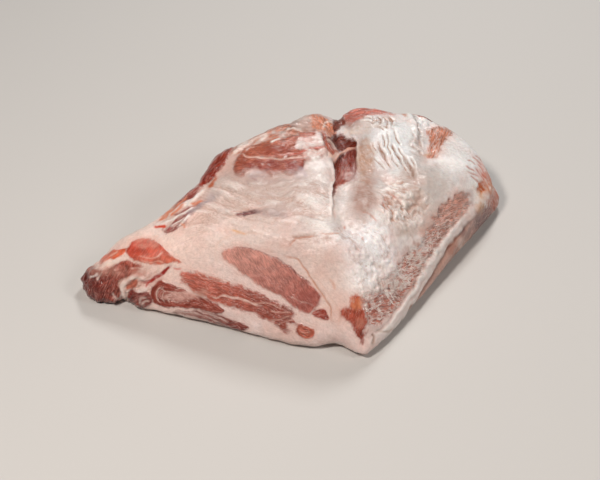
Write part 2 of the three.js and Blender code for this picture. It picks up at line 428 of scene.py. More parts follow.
# %% Name the muscles of the top and the right end
MUSCLES |= {
    "blade": dict(
        outline="233,165 238,155 247,149 262,142.5 282,138 302,133 315,131.5 323,138 326,147 326,155 "
                "318,160 306,161.5 302,166.5 292,176 280,173 272,177.5 263,171 251,168 243,178 236,174",
        hex="b06048", end="b0624f", grain=8, marbling=0.12, lift=1.3, bare=True, crisp=0.7, teeth=1.5,
        streaks=0.8,
    ),
    "blade ridge": dict(
        outline="229,157 236,147 248,140 264,131 284,123 296,128 306,131 296,134.5 280,137 262,141 247,147 "
                "238,153",
        hex="c27a60", grain=26, marbling=0.3, lift=0.6, bare=True, crisp=0.6,
    ),
    "tan knob": dict(
        outline="309,116 316,115 324,118 330,121 336,127 337,135 329,137 324,133 318,131 312,127",
        hex="db8866", grain=-55, marbling=0.5, lift=0.4, bare=True, crisp=0.5, streaks=0.7,
    ),
    "channel wall": dict(
        outline="321,134 326,134 331,141 336,148 337,153 332,156 326,151",
        hex="a9523c", grain=-65, marbling=0.4, lift=-0.8, bare=True, crisp=0.5, streaks=0.6,
    ),
    "channel top": dict(
        outline="333,120 338,116 344,117 346,124 340,128 337,133 343,139 334,139 331,130",
        hex="73301f", grain=60, marbling=0.0, lift=-1.5, bare=True, crisp=0.6, streaks=0.5,
    ),
    "channel": dict(
        outline="327,138 335,137 342,134 349,138.5 355,140 357.5,147 348,149.5 340,151 334,146",
        hex="681f09", grain=20, marbling=0.0, lift=-1.8, bare=True, crisp=0.6, streaks=0.5,
    ),
    "wedge": dict(
        outline="333.5,164 340,156 347,151 357,148 358,160 357,171 352,180 345,182 338,186 334,191 333,178",
        hex="6d1c0e", end="a14430", toward=-90, grain=70, marbling=0.05, lift=-1.6, bare=True, crisp=0.6,
        streaks=0.6,
    ),
    "crest": dict(
        outline="341,115 349,109 362,105 384,106 402,110 396,113.5 380,113 370,116 358,121 346,125",
        hex="cc7566", grain=12, marbling=0.3, lift=0.5, bare=True, crisp=0.5, streaks=0.7,
    ),
    "neck patch": dict(
        outline="428.5,129 437,126 448,127.5 453,133 446,139 442,147 434,158 427,158 430,146 429,137",
        hex="c98064", grain=70, marbling=0.9, lift=-0.5, bare=True, crisp=0.7, teeth=2.0,
    ),
    "slit": dict(
        outline="236,216 245,211.5 255,210 264,211.5 256,213.5 246,216.5",
        hex="6b3436", grain=12, marbling=0.05, lift=-1.0, crisp=1.0,
    ),
    "neck side": dict(
        outline="486,166 490,174 495,186 499,200 497,212 490,220 487,208 490,198 490,188 486,178",
        hex="a85a45", grain=-62, marbling=0.25, lift=0.2, bare=True, crisp=0.5, teeth=2.0,
    ),
    "rim patch": dict(
        outline="474,226 478,212 488,206 497,208 491,221 481,230",
        hex="7d4f4a", grain=50, marbling=0.4, lift=-0.3, crisp=0.6,
    ),
    "torn strip": dict(
        outline="449,200 458,194 465,193 470,200 467,210 456,222 444,241 429,263 413,285 399,303 388,316 "
                "371,327 365,310 360,296 376,291 378,281 393,271 404,256 419,242 430,225 440,207",
        hex="c3705d", end="d69886", toward=55, grain=12, marbling=0.0, lift=-1.2, crisp=0.55, teeth=3.0,
        streaks=1.0,
    ),
}
print("muscles:", len(MUSCLES))

# %% Draw the muscles
LIFT_BAND = (-0.6, 1.8)
TORN_BAND = (-1.5, 1.0)
BARE_BAND = (-0.5, 2.0)
WHORL_BAND = (2.5, 6.0)
GRAZING = 0.35

lean = np.full(count, OUTSIDE)
lift = np.zeros(count)
owner = np.zeros(count, int)
tint = np.zeros((count, 4))
torn = np.zeros(count)
bare = np.zeros(count)
for order, (name, muscle) in enumerate(MUSCLES.items()):
    outline = path(muscle["outline"])
    depth = inside_distance(outline) + muscle.get("teeth", 0.0) * tooth
    depth *= muscle.get("crisp", 1.0)
    won = depth > lean
    turn = math.radians(muscle.get("toward", 0))
    toward = np.array((math.cos(turn), -math.sin(turn)))
    span = outline @ toward
    shade = smoothstep(span.min(), span.max(), places[won] @ toward)[:, None]
    far = linear(muscle.get("end", muscle["hex"]))
    tint[won] = (1 - shade) * linear(muscle["hex"]) + shade * far
    owner[won] = order
    lean = np.maximum(lean, depth)
    lift += muscle["lift"] * smoothstep(*LIFT_BAND, depth)
    if name == "torn strip":
        torn = smoothstep(*TORN_BAND, depth)
    if muscle.get("bare"):
        bare = np.maximum(bare, smoothstep(*BARE_BAND, depth))

muscle_list = list(MUSCLES.values())
marbling = np.array([m["marbling"] for m in muscle_list])[owner]
grain = np.radians([m["grain"] for m in muscle_list])[owner]
whorl = np.array([m.get("whorl", False) for m in muscle_list])[owner]
streaky = np.array([m.get("streaks", 1.0) for m in muscle_list])[owner]
marbling = np.where(whorl, marbling * smoothstep(*WHORL_BAND, lean), marbling)
marbling *= smoothstep(0, GRAZING, facing)
front_lean = lean
print("share of the skin that is lean:", round(float((lean > 0).mean()), 2))

# %% [markdown]
# ## The fat
#
# Fat isn't one colour. Freshly cut it is warm and pinkish, where it has dried or is covered by membrane it
# is cool and nearly white, and at the neck it goes grey. A few named places carry those colours, each with
# its reach in pixels of the photo, and every point takes a mix of them by how near each one is. A few carry
# painted light instead: painted shade in the neck's hollow, around the pillow's foot and on the side under
# the rim, and a lighter tint where the relief shades the fat. A second table says which way the fat lies at
# some of them, in degrees up from level, for the strokes that a knife or a pulling hand leaves in it.

# %% Name the fats
FATS = {
    "cut front": ((250, 310), 60, "e8d3ce"),
    "cut front right": ((325, 280), 30, "e6cbc1"),
    "left slope": ((170, 235), 45, "f2d5ca"),
    "shoulder": ((245, 240), 26, "f3ded6"),
    "top": ((255, 205), 45, "c6b0a8"),
    "seam side": ((318, 200), 22, "e0d7d3"),
    "middle": ((362, 245), 28, "f4f3f5"),
    "lumps": ((402, 205), 26, "d4c7c0"),
    "membrane": ((390, 145), 30, "dadddf"),
    "neck": ((450, 170), 30, "e1dbd7"),
    # Brownish fat on the side under the rim, darkened further as painted shade.
    "rim": ((455, 252), 32, "c2988a"),
    # Painted shade at the pillow's lower left foot.
    "pillow foot shade": ((341, 221), 11, "c4b2aa"),
    # Near white: painted light over fat that the relief shades.
    "middle foot lit": ((364, 272), 20, "fffdfc"),
    "membrane back": ((403, 126), 15, "f6f5f4"),
    # Painted shade in the neck's hollow.
    "neck hollow shade": ((425, 176), 16, "97877f"),
    "neck right": ((464, 162), 22, "fefefe"),
    "neck far side": ((477, 196), 14, "fff8f4"),
    # Painted shade below the pillow.
    "pillow low shade": ((355, 220), 12, "c2ada5"),
    # A lighter tint, painted light, where the relief shades the pillow's right side.
    "pillow right lit": ((380, 206), 11, "f6eeea"),
    "top left": ((237, 207), 17, "f4e2da"),
    "slope edge": ((163, 229), 11, "fff2ea"),
    "seam side low": ((329, 220), 10, "fffaf6"),
    "cut foot": ((285, 336), 20, "d0b2a8"),
    "cut right": ((335, 264), 14, "d2b2a6"),
}
LIES = {
    "cut front": -20, "cut front right": -50, "left slope": 38, "shoulder": -8, "top": -6, "seam side": -35,
    "middle": -40, "lumps": -45, "membrane": -60, "neck": -10, "rim": 50,
}
UNSEEN_FAT_HEX = "ead0c6"
TINY = 1e-9
RIGHT_AND_UP = MM_PER_PIXEL * np.array((1, -1))

centres, radii, codes = zip(*FATS.values())
centres = np.array(centres)
weight = np.exp(-(np.linalg.norm(places[:, None] - centres, axis=2) / radii) ** 2) + TINY
weight /= weight.sum(axis=1)[:, None]
fat = weight @ np.array([linear(code) for code in codes])
fat = seen[:, None] * fat + (1 - seen[:, None]) * np.array(linear(UNSEEN_FAT_HEX))

lying = [name in LIES for name in FATS]
weight = weight[:, lying] / weight[:, lying].sum(axis=1)[:, None]
centres = centres[lying]
lie = np.radians(list(LIES.values()))
home_right, home_up = (centres * RIGHT_AND_UP).T
right, up = np.moveaxis((places[:, None] - centres) * RIGHT_AND_UP, 2, 0)
along = weight * (home_right + right * np.cos(lie) + up * np.sin(lie))
across = weight * (home_up + up * np.cos(lie) - right * np.sin(lie))
stroke = np.stack((along.sum(axis=1), across.sum(axis=1), np.zeros(count)), axis=1)
print("fats:", ", ".join(FATS))

# %% [markdown]
# ## Lines: sinews, blood, folds and painted light
#
# Thin things lie on lean and fat: a white line of sinew, a smear of blood, painted shade in the foot of a
# fold, a painted shadow along an edge, a painted highlight on a lip. Each is a curve through a few places in
# the photo, with a colour, a strength, and half its width and softness in millimetres. Its lift, in
# millimetres too, is negative where it cuts in and positive where it stands up. Most are alike, so one
# function draws them all, and a line names only what differs from the usual.

# %% Draw the lines of the front and the tip
LINE_SWELL = 0.35
LINE_TAPER = 0.12
LINE_END = 0.3

layers = []


def line_mask(knots, half_width, soft):
    """One on a line, falling off across it and toward both ends."""
    line = curve(knots, False)
    chosen = near(line)
    gap, along = line_distance(line, chosen)
    gap *= 1 + LINE_SWELL * tooth[chosen]
    ends = smoothstep(0, LINE_TAPER, along) * smoothstep(0, LINE_TAPER, 1 - along)
    found = np.zeros(count)
    across = smoothstep(half_width + soft, half_width - soft, gap)
    found[chosen] = across * (LINE_END + (1 - LINE_END) * ends)
    return found


def draw(name, code, rows, half=0.6, soft=0.7, strength=0.8, lift=0.0, shift=(0, 0)):
    """Lay thin lines of one kind on the meat, one for each row of places."""
    for row in rows.strip().splitlines():
        layers.append((name, line_mask(path(row) + shift, half, soft), linear(code), strength, lift))


draw("long sinew", "eccfc3", "212,296 216,298 222,296 233,297 240,299 252,303 262,306")
draw("oval dark edge", "6b2f2a", "232,247 252,248 268,254 284,262 298,274 312,285",
     half=0.4, soft=0.5, strength=0.6)
draw("oval sinew", "d9aea2", "291,296 300,301 308,303 315,306", half=0.5)
draw("oval crack", "7c4640", "279,269 284,266 290,268 297,275", half=0.3)
draw("front seam", "c28a72", "283,256 298,261 307,271 313,282 322,293 330,306 333,322",
     strength=0.95, lift=-0.5)
draw("front second seam", "d8b09f", "309,272 322,285 333,300 340,315 337,328",
     half=0.5, strength=0.5, lift=-0.2)
draw("front arc", "dcb9a9", "217,264 216,250 222,239 240,233 268,234", half=0.7, soft=1.2, strength=0.5)
draw("orange smear", "d69c81", "331,278 334,283 336,290", half=0.8, soft=1.2, strength=0.6)
draw("toe seam", "cfa596", "330,318 338,320 341,312", half=0.5, strength=0.5)
draw("blood", "931a12", "171,267 166,270.5 159,275.5 151,280 141,282.5",
     half=1.2, soft=0.6, strength=1.0, lift=-1.0)
draw("blood branch", "b8352a", "152,279.5 148,283 146,287", half=0.7, lift=-0.4)
draw("blood fleck", "c4402f", "174,269 177,269.5 181,268", half=0.5)
draw("tip pale strip", "ecd2c6", "97,269 107,264.5 119,260 128,259", half=1.6, soft=0.8, strength=0.9)
# A painted glint on the tip's left end.
draw("tip glint", "efe4de", "91,277.5 96,277 100,274", half=0.8, lift=0.4)
draw("ring fat", "f0dad0", "146,280 141,277 132,277 125,281 122.5,287 124,293 130,298",
     half=1.5, strength=1.0, lift=1.4)
draw("lump blood", "7d1a12", "130,288 132.5,292 131.5,297", half=1.1, lift=-0.6)
draw("lump fat one", "e8d2c8", "131,299 134,304 139,304", half=0.8, lift=0.6)
draw("lump fat two", "d9bdb3", "141,303 143,298 147,297", lift=0.4)
print("lines so far:", len(layers))

# %% Draw the lines of the left slope and the blade
draw("slope grey", "a99698", "188,215 197,208 206,202 216,195", half=2.2, soft=1.6, lift=-0.5)
draw("slope white", "f7e8e1", "172,222 182,213 192,207", half=0.8, lift=0.6)
draw("slope red", "bd7468", "176,217 186,211 195,205 206,200", lift=-0.5)
draw("slope upper white", "f8ece6", "178,210 188,203 198,197 206,189", half=1.1, soft=1.0, lift=0.8)
draw("slope orange", "dd9d86", "160,219 168,214 175,209", half=1.0, soft=1.0)
draw("slope blood", "d24a30", "155,226.5 161,227 167,226", half=1.0, strength=1.0, lift=-0.3)
draw("slope strip", "bd6a4c", "209,188 213,184 218,178", half=1.3, soft=0.9, strength=0.95)
draw("blade white", "eedbd2", "238,151 249,144 261,138 269,135.5", half=0.9, soft=0.8, lift=0.4)
draw("blade orange", "c9795d", "243,153 254,147 268,142 284,136", half=0.9)
draw("blade sinew", "e6ccc1", "242,155 249,158.5 262,158.5 280,159.5 304,159",
     half=0.5, strength=0.9, lift=-0.7)
draw("blade red", "b8401f", "291,156 299,154 306,151 312,149.5 322,149", strength=0.95, lift=-0.8)
draw("blade glint one", "ead5cb", "271,145 274,142.5 278,140.5", half=0.5)
draw("blade glint two", "d9b5a7", "246,152 250,150 254,149", half=0.4)
draw("blade spot", "8a4a47", "252,178.5 254,180 257,182.5")
draw("blade second spot", "a98a87", "246,180 248,183 249,185")
draw("slit film", "b7a3a3", "261,212.5 270,214.5 290,216", half=1.5, soft=1.5, strength=0.6, lift=-0.7)
draw("slit red", "d39a87", "231,213 237,212 243,213", half=0.5, strength=0.7)
draw("yellow streak", "e0ae84", "231,230 238,231.5 246,234", half=0.8)
draw("tear", "bd8069", "294,239 303,238.5 315,237", lift=-1.3)
draw("tear left", "b97a60", "289,247 292,243 296,240.5", lift=-0.9)
draw("tear right", "c08a75", "320,233 327,234 341,233", lift=-1.2)
print("lines so far:", len(layers))

# %% Draw the lines of the seam, the membrane and the right end
RIM = "374,341 391,327 404,308 418,287 430,267 442,248 455,231 472,212"
RIM_SIDE = np.array((4.4, 3.1))
# Dark red tissue in the seam, darkened further as a painted shadow in its narrow slit.
draw("seam", "74301f", "333,160 336,171 336,180 333.5,190 333,197",
     half=0.9, soft=0.9, strength=0.9, lift=-3.5)
# Painted crease shade, tan and soft, where the seam runs on down.
draw("seam foot shade", "c49b89", "333.5,192 333.5,206 334,222", half=0.8, soft=1.2, strength=0.45, lift=-0.3)
# A painted highlight along the seam's raised left lip.
draw("seam lip highlight", "f8eee8", "329,161 333,172 334,180 331,192 330.5,206 330.5,220",
     half=1.2, soft=1.2, strength=0.7, lift=1.2)
draw("wedge lip", "dda692", "333,161 339,155 346,150.5 357,147.5", half=0.9, strength=0.95, lift=1.4)
# A painted shine along the knob's crest.
draw("knob shine", "f2e2d9", "322.5,131 323.5,124.5 328,123 334,123.5", lift=0.5)
draw("wall white", "e9cdbf", "328,139 333,142 336,149", half=0.5, lift=0.4)
draw("wall edge", "e4b9a6", "327,152 332,157 338,152", half=0.9, lift=0.5)
draw("channel edge", "e7d9d2", "354,138 357,143 358.5,150 358,164", half=0.8, lift=0.8)
# A painted highlight along the pillow's upper rim.
draw("pillow rim highlight", "f5ece6", "341,192 348,186.5 357,184 366,185",
     half=0.9, soft=0.9, strength=0.6, lift=0.7)
# A painted shadow just outside the pillow's rim.
draw("pillow foot shade", "b3907f", "357,181 367,182 374,189", half=0.7, soft=1.1, strength=0.5, lift=-0.5)
# A painted shadow along the slit's upper edge.
draw("slit upper edge shadow", "5f3637", "242,213.5 249,210.5 260,209", half=0.5, lift=-0.5)
draw("pillow red", "c98c7b", "362,211 369,214 378,222", lift=-0.4)
draw("neck edge", "c9684a", "487,166 493,178 497,192 496,208", half=0.8, soft=1.4)
draw("neck tail", "c79b7c", "432,152 428,155 422,157", half=0.9, strength=0.7)
# A painted highlight along the ridge of the neck.
draw("neck ridge highlight", "fbf9f8", "424,164 440,161 456,161 472,166", half=2.6, soft=2.4, strength=0.55, lift=0.8)
# A painted shadow line along the membrane's right edge.
draw("membrane edge shadow", "8f7a70", "412,112 418,121 421,133 418,146",
     half=0.8, soft=0.9, strength=0.7, lift=-1.2)
draw("membrane lip", "fbf7f4", "406,112 413,122 416,134 413,145",
     half=1.6, soft=1.2, strength=0.5, lift=1.0)
draw("hump orange", "c98566", "401,112 404,114 407,117", half=1.2, soft=1.0)
draw("rim", "dccfca", RIM, half=3.4, soft=1.2, strength=0.95, lift=1.4)
# Painted shadow lines at the rim's inner and outer edges, and a painted highlight along its top.
draw("rim inner shadow", "8d6a5f", RIM, half=0.8, strength=0.35, lift=-0.3, shift=-RIM_SIDE)
draw("rim highlight", "f4ede9", RIM, half=0.9, soft=1.0, strength=0.6, shift=-RIM_SIDE / 2)
draw("rim outer shadow", "9a7466", RIM, half=0.7, lift=-0.5, shift=RIM_SIDE)
draw("rim crease", "a3806f", "373,345 374,338 372,334", half=0.8, lift=-0.8)
draw("rim fold", "bda292", "376,331 384,332 393,327", lift=-0.8)
draw("rim brown", "a8674d", "451,246 453,241 456,237", half=1.4, soft=1.2)
print("lines so far:", len(layers))

# %% [markdown]
# ## Lines in bundles
#
# Many lines come in bundles: veins that follow a whorl, fibres where the neck was cut free, glints on the
# blade, and the folds of the membrane, with painted shade in their feet and painted highlights on their
# crests. The lines of one bundle look alike and differ only in place, so a bundle is one call with a row of
# places for each line.

# %% Draw the bundles of the front and the tip
draw("whorl line", "dcc0b4", """
    161,303 158,298 158,291 161,288 166,291
    165,302 163,296 165,291 172,292
    170,303 168,297 172,294 182,298
    174,290 182,288 196,294 208,301
    178,292 190,294 200,300
""", half=0.35, soft=0.5, strength=0.7)
draw("long line", "d9aa9b", """
    190,272 205,274 220,279 232,284
    198,274 204,278 213,279 222,282
    250,303 262,303 274,305 284,309
    270,311 282,312 291,313
    268,320 280,319 290,316
    276,325 284,322 294,320
    298,329 303,332 310,332
""", half=0.4, soft=0.5, strength=0.75)
draw("bottom line", "dcc3ba", """
    168,310 190,312 206,317 220,323
    176,314 195,318 212,325
    200,312 215,316 228,322
""", half=0.45, soft=0.5)
draw("red line", "eabfae", """
    139,257 148,258.5 157,257 162,253
    141,261 150,263 158,261 165,263
    111,258 115,254 119,252
""", half=0.5, strength=0.6)
draw("tip line", "e6cbc0", """
    99,281 101,276 104,272
    112,291 115,295 119,296 121,292
    131,268 138,268 146,270
    132,273 139,271 145,272
    143,304 146,301 150,300
""", half=0.55, lift=0.3)
print("lines so far:", len(layers))

# %% Draw the bundles of the left slope, the blade and the wedge
draw("slope purple line", "8f4640", """
    173,216 181,213 190,208
    171,228 178,221.5 187,215
    173,225 180,220 187,214.5
    163,231 170,231.5 177,229
    184,204 189,200 196,194
""", strength=0.95, lift=-0.6)
draw("slope pale line", "fbf0ea", """
    165,222 176,218.5 186,213 195,207
    175,211.5 182,207 190,206
    178,227 185,221 191,216
    172,227.5 179,222.5 186,217
    181,208 187,206.5 192,205
    188,206 194,200 200,195
""", half=0.7, strength=1.0, lift=0.7)
draw("slope salmon line", "d98464", """
    158,221 166,216 174,209
    190,205 197,203 203,201
    171,217 178,211 186,205
    163,218 172,211.5 181,204 188,198
    180,224.5 185,226 184,229
""", half=0.8, soft=0.8, strength=0.95)
draw("blade pale line", "f2e3da", """
    232,156 241,147 250,141
    255,145 262,140.5 269,136.5
    271,145 275,142 280,139
    286,131 294,130 302,131
""", half=0.9, strength=0.85, lift=0.3)
draw("glint", "fff8f4", """
    246,152 250,150
    261.5,165 264,166
    268,165.5 270.5,167
    272,145 278,141
    283,158 286,157
    292,165 296,164
    306,156 308,155
    308,153 310,152
    312,157 314,156
    314,154 316,153
    318,156 320,155
    319,152 321,151
    299,147 300,151
    303,143 305,148
""", half=0.5, strength=0.9)
draw("wedge line", "d5b3ab", """
    340,180 342,172 343,166
    345,181 346,173 346,167
    350,180 350,172 349,166
    353,176 354,168 354,162
""", half=0.5, soft=0.9, strength=0.4)
print("lines so far:", len(layers))

# %% Draw the bundles of the right end and the membrane
draw("red fleck line", "c07866", """
    381,203 384,206
    384,199 387,201
    344,226 345,230
    361,238 363,241
    392,196 396,199
""", half=0.5)
draw("rim streak", "bfa69d", """
    388,327 402,310 416,291 428,272
    398,318 410,301 421,284
    434,266 446,250 460,232
""", half=0.4, strength=0.5, lift=-0.2)
draw("neck fibre", "bf7464", """
    466,160 471,162 475,165
    472,157 478,161 482,166
    465,166 470,169 476,172
    467,171 473,174 479,176
    470,175 475,178 479,182
    478,164 483,170 486,176
    484,161 489,169 493,178
    482,173 486,180 489,187
    487,175 490,182 492,190
    491,178 494,188 496,197
    475,155 482,160 487,167
    476,168 481,174 484,181
    480,169 485,177 488,183
    488,168 492,177 495,186
    485,183 489,192 491,202
    490,192 493,201 493,210
""", half=0.5, soft=0.5, lift=-0.4)
# Painted shade in the deepest folds of the membrane.
draw("deep fold shade", "8c6a5c", """
    391,146 396,153 401,160 405,166
    403,158 408,165 412,173 413,178
    379,148 383,155 386,161
""", half=0.8, lift=-1.6)
FOLDS = """
    368,146 370,150 374,155
    372,143 374,147 378,153
    374,159 379,163 385,170
    378,141 381,148 385,155 386,161 392,169
    382,134 384,141 385,147
    386,132 388,141 388,148 391,156 394,162 400,170
    391,143 394,150 399,157 401,163
    394,130 396,138 400,146
    398,148 402,154 405,160
    400,162 404,167 409,174
    405,155 408,162 413,170 414,178
    411,158 414,167 416,177
    415,123 418,128 420,132
    417,136 420,141 421,147
    412,146 417,150 421,156
    373,116 374,120 373,125
    378,116 381,121 379,127 384,131
    384,117 387,122 386,127
    347,127 356,123 366,121 372,122
    351,131 361,128 372,127
    390,117 393,121 391,126
    362,118 368,117 372,119
"""
# Painted crease shade, thin and warm, in the foot of every fold.
draw("fold", "96694f", FOLDS, half=0.45, soft=0.45, strength=1.0, lift=-0.6)

# The membrane is gathered toward the neck. Beside the thin, warm painted shade in the foot of each fold runs
# a pale painted highlight along its crest.
CREST_HIGHLIGHT_SHIFT = (2.0, -0.6)
draw("crest", "fbf7f4", FOLDS, half=0.5, strength=0.6, lift=0.3, shift=CREST_HIGHLIGHT_SHIFT)
print("lines:", len(layers))

# %% [markdown]
# ## Films, stains and painted light
#
# Wider thin things are ovals with a soft edge: a wet film over a muscle, grey fat, a rust-coloured spot,
# and painted light: shade under the blade, on walls and along the bottom edge, sheen on the blade. A noise
# frays them, so no oval is left to be seen. Two, the blade's sheen, have a clear border and are drawn by
# their outline.

# %% Lay films on the front and the tip
FILM_EDGE = 1.3
SPOT_SOFT = 0.5


def spot_mask(centre, radii):
    """One in the middle of an oval, falling to nothing at its edge."""
    away = np.linalg.norm((places - centre) / radii, axis=1)
    return smoothstep(1 + SPOT_SOFT, 1 - SPOT_SOFT, away)


def film(name, code, centre, radii, strength=0.5, lift=0.0, fray=1.4):
    """Lay a frayed oval on the meat."""
    mask = np.clip(spot_mask(centre, radii) * (1 + fray * tooth), 0, 1)
    layers.append((name, mask, linear(code), strength, lift))


def film_within(name, code, outline, strength, lift=0.0, fray=1.4):
    """Lay a film with a border of its own on the meat."""
    mask = smoothstep(-FILM_EDGE, FILM_EDGE, inside_distance(path(outline)) + fray * tooth)
    layers.append((name, mask, linear(code), strength, lift))


film("oval dark end", "8a3f38", (308, 299), (11, 8))
film("oval dark spot", "8f4238", (262, 278), (7, 3.5), strength=0.45)
film("long haze", "c59383", (200, 293), (9, 4))
film("lower left haze", "d9ab9f", (181, 296), (15, 4.5), strength=0.7, fray=2.0)
film("bottom haze", "cdb3ab", (185, 314), (12, 3))
film("corner orange", "d98258", (357, 302), (6, 7), strength=0.75)
film("corner fat", "c07a66", (360, 322), (4, 5), strength=0.6)
film("tip dark", "6f3a31", (93, 290), (10, 9), strength=0.2)
film("tip light", "c08878", (108, 271), (20, 5))
film("tip pink", "c58273", (138, 272), (7, 5), strength=0.6)
print("lines and films so far:", len(layers))

# %% Lay films on the slope, the blade and the top
film("slope lilac", "c3b2af", (213, 197), (8, 5))
film("blade dark", "7d3a2e", (242, 167), (7, 9))
# A browner tint under the blade's ridge, painted shade.
film("shade under the ridge", "a35c46", (262, 148), (9, 6))
film("blade grey", "cdc2be", (279, 134), (7, 3.5), strength=0.7)
film("blade low", "7d2622", (276, 167), (28, 6), strength=0.65)
film("blade middle", "86352a", (277, 153), (16, 4.5), strength=0.6)
# The blade's wet sheen is painted: a pale painted reflection with a clear border, pink where the meat shows
# through.
film_within("blade sheen", "eadad6",
            "297,150 297,143 301,140 308,139 313,137 316,134 320,134.5 323,140 324,147 318,149 "
            "308,149.5 302,151.5", strength=0.85, lift=0.5, fray=2.4)
film("sheen pink", "dcaea6", (306, 142), (6, 3), strength=0.6)
# The lower part of the painted sheen.
film_within("blade sheen low", "efdfd8", "301,158 303,153 312,152 324,151 327,156 318,159",
            strength=0.6, fray=4.0)
film("blade low film", "b9a3a4", (258, 176), (9, 4), strength=0.65)
film("blade right film", "bba9ac", (299, 174), (9, 5), strength=0.6)
# Painted grey shade on the top fat below the blade.
film("top grey shade", "c4b0a8", (275, 189), (24, 9), fray=0.8)
# Painted grey shade on the fat around the slit, below the blade.
film("slit grey shade", "bfaba4", (280, 209), (20, 6))
print("lines and films so far:", len(layers))

# %% Lay films on the seam, the membrane and the right end
film("knob grey", "c8b8b1", (302, 121), (10, 8), strength=0.8, lift=0.8)
film("knob shade", "8a6d64", (294, 125), (4, 4), strength=0.6)
film("tongue", "e2d0c6", (353, 131), (9, 3.5), strength=0.9, lift=0.6)
film("wedge lilac", "c0b0b5", (355, 172), (4, 9), strength=0.2)
film("wedge film", "dcc8c4", (350, 177), (6, 8), fray=2.2)
# Painted shade on the tan wall of the membrane.
film("membrane wall shade", "b5907c", (366, 160), (8, 24), strength=0.9, fray=0.4)
film("membrane foot", "b8968a", (373, 176), (8, 9), strength=0.6, fray=0.6)
film("tongue grey", "c9bcb4", (364, 127), (20, 5), strength=0.6)
film("membrane grey", "c3b6b1", (417, 146), (8, 12))
# Partly the fat's own tan, partly painted shade over the pillow's centre and right side.
film("pillow", "9f7565", (364, 198), (13, 17), strength=0.75, fray=0.15)
# Painted shade along the bottom edge of the front cut.
film("front foot shade", "a98880", (198, 319), (46, 7), strength=0.3)
film("red halo", "e6b4a2", (150, 243), (18, 6), strength=0.4)
film("neck side", "cf8670", (492, 188), (7, 26), fray=2.2)
film("rim side", "8a5f58", (484, 217), (9, 13), strength=0.55)
film("slit shade", "b09994", (268, 213), (16, 4))
film("neck dip", "e8e0dc", (428, 119), (13, 9), strength=0.0, lift=-4.0)
film("lump grey", "c5b5ac", (416, 200), (12, 12))
# Painted shade in the pits among the lumps.
film("lump pit shade", "bfa593", (402, 232), (10, 6))
# Painted shade on the grey slope below the neck's ridge.
film("neck grey shade", "c9bfba", (453, 178), (18, 7), strength=0.3)
film("neck shade", "cbbdb6", (435, 188), (14, 14))
film("strip top shade", "a99c99", (468, 198), (6, 8), strength=0.35)
film("neck rust", "d69a70", (484, 189), (10, 8), strength=0.4)
film("neck stain", "ad4f1c", (481, 187), (4.5, 6), strength=0.85, lift=-0.6)
film("fold shade", "a58a7d", (411, 173), (9, 7))
print("lines and films so far:", len(layers))

# %% Lay on the films that cover others
# Painted shade on the fat along the blade's foot.
film("blade foot shade", "b39a93", (268, 178), (34, 6), strength=0.6, fray=1.0)
# White fat at the blade's end, made brighter as a painted sheen.
film("blade end fat and sheen", "fbf4f1", (318, 164), (11, 7), strength=0.7, fray=1.0)
film("strip fat top", "f5ece8", (413, 243), (17, 8), strength=0.6, fray=2.2)
film("strip fat foot", "f6e9e3", (370, 299), (9, 9), strength=0.45, fray=2.6)
film("strip fat side", "fdf6f3", (384, 272), (18, 8), strength=0.55, fray=1.6)
film("knob brown", "a8705c", (308, 127), (9, 6), strength=0.4)
film("crest brown", "94564a", (350, 124), (9, 5), strength=0.4)
film("ring red", "b4543f", (146, 278), (20, 9), strength=0.22, fray=1.6)
film("strip fat low", "f0e0d8", (387, 286), (17, 6), strength=0.75, fray=2.6)
film("strip fat middle", "eedcd4", (421, 258), (9, 9), strength=0.55, fray=2.6)
film("side brown", "a0583f", (452, 247), (5, 8), strength=0.45, fray=2.6)
film("side purple", "85605c", (469, 231), (9, 8), strength=0.55, fray=2.6)
film("side pale", "dcc5bb", (461, 244), (4, 5), fray=2.6)
film("neck red", "d08a78", (484, 169), (8, 14), strength=0.35, fray=2.4)
film("neck stain tail", "d49a66", (480, 203), (4, 11), strength=0.55)
print("lines and films:", len(layers))

# %% [markdown]
# ## One thing over the other
#
# Lines and films are laid on in the order in which they were named, each over what is there already, like
# coats of thin paint. The skin then needs only two things of them all: the mixed colour, and how much of
# the meat it covers. Their lifts simply add up.

# %% Lay one thing over the other
film_tint = np.zeros((count, 4))
film_share = np.zeros(count)
for _, mask, colour, strength, rise in layers:
    cover = mask * strength
    total = cover + film_share * (1 - cover)
    mixed = cover[:, None] * colour + (film_share * (1 - cover))[:, None] * film_tint
    film_tint = np.where(total[:, None] > 0, mixed / np.maximum(total, TINY)[:, None], film_tint)
    film_share = total
    lift += rise * mask
names = dict.fromkeys(name for name, *_ in layers)
print(len(names), "things laid on:", ", ".join(names))

# %% [markdown]
# ## Lumps, wrinkles and torn fibres
#
# Some kinds of unevenness repeat over whole areas. The fat is lumpy where it was pulled off another muscle,
# the top is wrinkled along the block, the tip is craggy, and the torn strip at the right bristles with
# threads. In a few places the meat has dried and shines less. Each area gets a mask, most of them from a
# few soft ovals.

